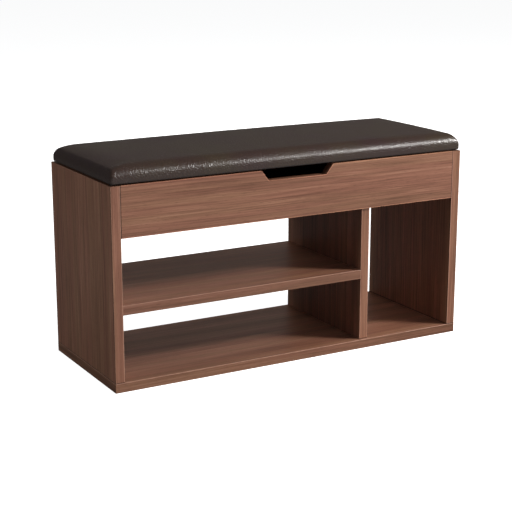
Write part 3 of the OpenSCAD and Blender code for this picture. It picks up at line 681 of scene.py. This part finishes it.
def finish_cad():
    """A finish for every CAD node: its own walnut, or the one of its material slot."""
    by_slot = {
        "cap_plastic": moulded("cap_plastic", srgb(112, 76, 58), srgb(134, 94, 73), 0.42),
        "plywood": pale_wood("plywood", srgb(214, 184, 142), srgb(186, 150, 106),
                             srgb(150, 112, 74)),
        "beech": pale_wood("beech", srgb(216, 178, 132), srgb(192, 148, 100),
                           srgb(150, 104, 66)),
        "foam": moulded("foam", srgb(214, 204, 160), srgb(236, 228, 190), 0.9, 700, 0.5),
        "zinc": plated("zinc", (0.50, 0.50, 0.47, 1), (0.72, 0.71, 0.67, 1), 0.42,
                       (500, 500, 90)),
        "hinge_steel": plated("hinge_steel", (0.52, 0.51, 0.49, 1), (0.68, 0.67, 0.64, 1), 0.36,
                              (40, 900, 900)),
        "stay_steel": plated("stay_steel", (0.48, 0.48, 0.47, 1), (0.64, 0.64, 0.62, 1), 0.38,
                             (900, 60, 900)),
        "black_plastic": moulded("black_plastic", srgb(24, 24, 25), srgb(40, 40, 42), 0.5),
        "bumper_rubber": moulded("bumper_rubber", srgb(26, 26, 26), srgb(44, 43, 42), 0.7),
    }
    woods = wood_finishes()
    for part in frame["record"]["subparts"]:
        node, slot = part["node"], part["material_slot"]
        chosen = woods.get(node) or by_slot.get(slot)
        if chosen is None:
            continue
        made = frame["nodes"][node]
        if not made.data.materials:
            made.data.materials.append(chosen)
        for place in made.material_slots:
            place.material = chosen


# ---------- Studio ----------

AIM = Vector((0, 0, 0.22))


def lamp(name, direction, distance, size, power, colour, mirrored=True):
    """A square area light in that direction from the object. A fill lamp isn't mirrored in it."""
    data = bpy.data.lights.new(name, "AREA")
    data.shape = "SQUARE"
    data.size = size
    data.energy = power
    data.color = colour
    made = bpy.data.objects.new(name, data)
    towards = Vector(direction).normalized()
    made.location = AIM + towards * distance
    made.rotation_euler = towards.to_track_quat("Z", "Y").to_euler()
    made.visible_glossy = mirrored
    made.visible_camera = False
    bpy.context.scene.collection.objects.link(made)


FLOOR_HALF = 30


def make_floor():
    """A pale floor that glows to the camera and lights the object only a little."""
    signs = ((-1, -1), (1, -1), (1, 1), (-1, 1))
    floor = mesh_object("floor", [(a * FLOOR_HALF, b * FLOOR_HALF, 0) for a, b in signs],
                        [(0, 1, 2, 3)])
    f = Finish("floor", Roughness=0.9, Specular_IOR_Level=0.0)
    seen, mirrored = (f.light_path(name) for name in ("Is Camera Ray", "Is Glossy Ray"))
    f.put(f.shader.inputs["Base Color"], f.mix(seen, (0.10, 0.10, 0.10, 1), (0.9, 0.9, 0.9, 1)))
    f.put(f.shader.inputs["Emission Color"], f.mix(seen, (0.86, 0.95, 1, 1), (1, 1, 1, 1)))
    # The fronts mirror the pale floor before them; the sides mirror the dim room behind
    before = f.math("MULTIPLY", mirrored, f.span(f.axis("y"), -0.5, -0.15, 0.22, 0.02))
    f.put(f.shader.inputs["Emission Strength"], f.math("MULTIPLY_ADD", seen, 0.90, before))
    floor.data.materials.append(f.material)


def make_world():
    """White to the camera, a dim cool fill to everything else."""
    world = bpy.data.worlds.new("studio")
    bpy.context.scene.world = world
    world.use_nodes = True
    nodes, links = world.node_tree.nodes, world.node_tree.links
    nodes.clear()
    fill = nodes.new("ShaderNodeBackground")
    fill.inputs["Color"].default_value = (0.86, 0.93, 1.0, 1)
    fill.inputs["Strength"].default_value = 0.06
    backdrop = nodes.new("ShaderNodeBackground")
    backdrop.inputs["Color"].default_value = (1, 1, 1, 1)
    both = nodes.new("ShaderNodeMixShader")
    out = nodes.new("ShaderNodeOutputWorld")
    path = nodes.new("ShaderNodeLightPath")
    links.new(path.outputs["Is Camera Ray"], both.inputs[0])
    links.new(fill.outputs[0], both.inputs[1])
    links.new(backdrop.outputs[0], both.inputs[2])
    links.new(both.outputs[0], out.inputs["Surface"])


# The camera, fitted to the corners of the case in the photograph
EYE, TARGET = Vector((-1.3219, -2.3249, 0.8719)), Vector((-0.0107, 0.0, 0.1878))
LENS, SENSOR = 92.305, 36


def make_camera():
    data = bpy.data.cameras.new("camera")
    data.lens = LENS
    data.sensor_width = SENSOR
    data.clip_start = 0.1
    data.clip_end = 60
    made = bpy.data.objects.new("camera", data)
    made.location = EYE
    made.rotation_euler = (TARGET - EYE).to_track_quat("-Z", "Y").to_euler()
    bpy.context.scene.collection.objects.link(made)
    bpy.context.scene.camera = made


make_seat()
make_dust_cover()
finish_cad()
make_floor()
make_world()
make_camera()
# Direction, distance, size, power, colour
lamp("key", (0.70, -0.505, 0.52), 5.0, 0.9, 176, (1.0, 0.98, 0.96))
lamp("top", (0.47, -0.25, 0.85), 2.6, 0.8, 22, (1.0, 0.97, 0.94), mirrored=False)
lamp("rear", (0.48, 0.84, 0.30), 3.6, 3.0, 1.5, (1.0, 0.90, 0.76))
lamp("rear_fill", (0.45, 1.0, 0.24), 3.6, 2.0, 38, (1.0, 0.98, 0.95), mirrored=False)
lamp("front_fill", (0.05, -1.0, 0.08), 3.8, 1.0, 50, (0.95, 0.98, 1.0), mirrored=False)
lamp("left_fill", (-1.0, 0.05, 0.45), 3.4, 1.4, 25, (1.0, 1.0, 0.98), mirrored=False)
bpy.context.scene.view_settings.view_transform = "Standard"
